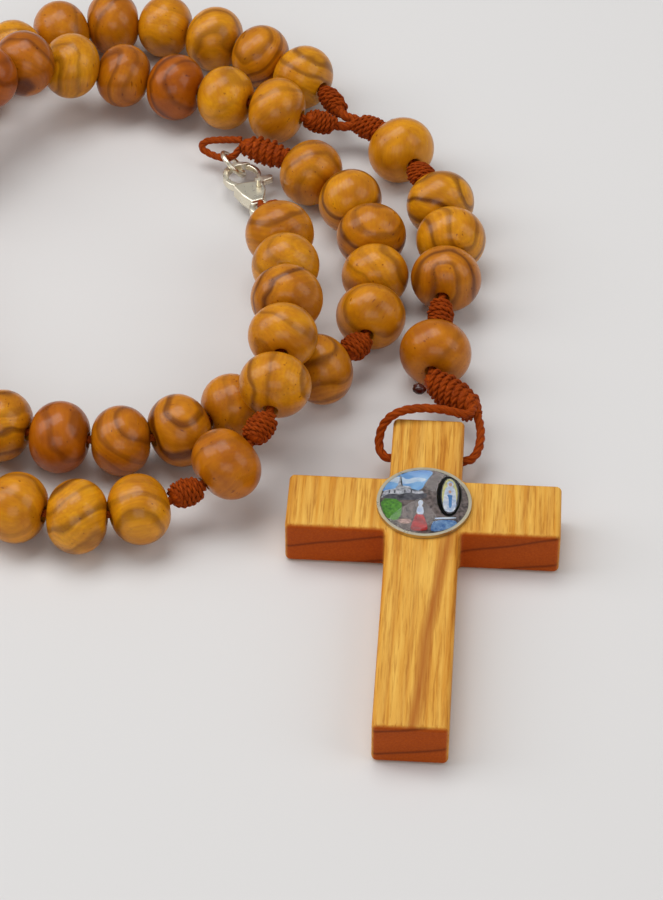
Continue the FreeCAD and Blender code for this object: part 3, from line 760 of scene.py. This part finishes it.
rim = [np.array([PICTURE_RADIUS * math.cos(TAU * i / 72), PICTURE_RADIUS * math.sin(TAU * i / 72)])
       for i in range(72)]
blob("rock", rim, 0)
blob("sky", [(-4.6, 0.9), (-4.6, 3.0), (-2.6, 4.6), (0.2, 4.9), (0.9, 4.4), (0.2, 3.0),
             (-0.4, 1.2), (-2.4, 0.9)], 1)
oval("cloud", -3.2, 3.1, 1.0, 0.45)
oval("cloud", -2.2, 2.7, 1.2, 0.4)
oval("cloud", -0.8, 3.0, 0.9, 0.35)
blob("wall", [(-4.7, 0.3), (-4.4, 1.4), (-3.2, 1.6), (-2.9, 2.2), (-2.75, 4.0), (-2.6, 2.2),
              (-2.3, 2.0), (-1.6, 1.9), (-1.3, 1.3), (-0.2, 1.2), (0.1, 0.4)], 0)
blob("shade", [(-4.8, 0.2), (-3.8, 0.9), (-3.0, 0.5), (-1.8, 1.0), (-0.6, 0.7), (0.3, 1.0),
               (0.2, 0.1), (-2.0, -0.2)], 1)
for x in (-3.9, -3.3, -2.2, -1.5):
    blob("shade", [(x, 0.9), (x + 0.16, 0.9), (x + 0.16, 1.35), (x, 1.35)], 0)
blob("lawn", [(-4.9, 0.2), (-2.4, -0.1), (-2.3, -2.2), (-2.9, -3.2), (-4.2, -2.6)], 1)
blob("path", [(-2.9, -2.9), (-1.3, -2.8), (-1.2, -3.4), (-2.3, -3.6)], 1)
blob("water", [(1.2, -2.9), (3.4, -2.6), (3.8, -3.2), (2.6, -4.1), (0.9, -4.6), (0.9, -3.6)], 1)
blob("cloud", [(1.2, -2.5), (3.6, -2.2), (3.5, -2.45), (1.3, -2.75)], 1)
oval("glow", 2.65, 0.9, 1.35, 3.1)
oval("shade", 2.75, 0.9, 1.0, 2.75)
oval("glow", 2.7, 1.0, 0.85, 2.5)
# A robed standing figure, head covered.
blob("robe", [(2.35, 2.3), (2.05, 1.2), (2.0, -1.6), (3.5, -1.6), (3.4, 1.2), (3.1, 2.3)], 2)
oval("robe", 2.72, 2.6, 0.36, 0.52)
oval("skin", 2.72, 2.52, 0.19, 0.30)
blob("sash", [(2.35, 0.9), (3.05, 0.9), (2.95, 0.5), (3.0, -1.0), (2.65, -1.0), (2.6, 0.5)], 1)
oval("skin", 2.7, 1.35, 0.16, 0.24)
# A kneeling figure seen from behind, head covered.
blob("dress", [(-0.75, -1.9), (-0.1, -1.9), (0.65, -4.1), (0.2, -4.5), (-1.2, -4.5), (-1.3, -4.0)],
     1)
blob("robe", [(-0.65, -0.9), (-0.1, -0.9), (0.1, -2.2), (-0.8, -2.2)], 1)
oval("robe", -0.36, -0.55, 0.27, 0.40)
picture.place("medal_print_shapes", [PRINT[k] for k in PRINT_NAMES], "medal_picture",
              slot="medal_print", replaces=["medal_picture"], smooth=False)

# ------------------------------------------------------------- floor, light
FLOOR_HALF = 1.5
floor_mesh = bpy.data.meshes.new("floor")
floor_mesh.from_pydata([(-FLOOR_HALF, -FLOOR_HALF, 0), (FLOOR_HALF, -FLOOR_HALF, 0),
                        (FLOOR_HALF, FLOOR_HALF, 0), (-FLOOR_HALF, FLOOR_HALF, 0)], [],
                       [(0, 1, 2, 3)])
floor = bpy.data.objects.new("floor", floor_mesh)
bpy.context.collection.objects.link(floor)
floor_mesh.materials.append(plain("floor_paper", (0.70, 0.69, 0.685), 0.8, 0.01, 3.0))

world = bpy.data.worlds.new("studio")
bpy.context.scene.world = world
world.use_nodes = True
world.node_tree.nodes["Background"].inputs["Color"].default_value = (1.0, 0.985, 0.97, 1.0)
world.node_tree.nodes["Background"].inputs["Strength"].default_value = 0.25


CENTRE = Vector((-0.02, 0.03, 0.0))


def lamp(name, place, size, power):
    """A softbox that looks at the middle of the object."""
    data = bpy.data.lights.new(name, "AREA")
    data.shape = "RECTANGLE"
    data.size, data.size_y = size
    data.energy = power
    light = bpy.data.objects.new(name, data)
    light.location = place
    light.rotation_euler = (CENTRE - Vector(place)).to_track_quat("-Z", "Y").to_euler()
    bpy.context.collection.objects.link(light)


lamp("softbox_top", (-0.16, 0.22, 0.80), (0.6, 0.5), 3.4)
lamp("softbox_left", (-0.62, 0.05, 0.50), (0.45, 0.6), 2.2)
lamp("softbox_right", (0.62, -0.10, 0.50), (0.45, 0.6), 1.4)
lamp("fill_front", (0.0, -0.7, 0.45), (0.6, 0.4), 1.2)

# ------------------------------------------------------------------- camera
camera_data = bpy.data.cameras.new("camera")
camera_data.sensor_fit = "HORIZONTAL"
camera_data.sensor_width = 36.0
camera_data.lens = 173.2
camera_data.clip_start = 0.01
camera = bpy.data.objects.new("camera", camera_data)
camera.location = (0.00556, -0.24239, 0.25658)
camera.rotation_euler = Vector((-0.0457, 0.7055, -0.7073)).to_track_quat("-Z", "Y").to_euler()
bpy.context.collection.objects.link(camera)
bpy.context.scene.camera = camera
bpy.context.scene.view_settings.view_transform = "Standard"
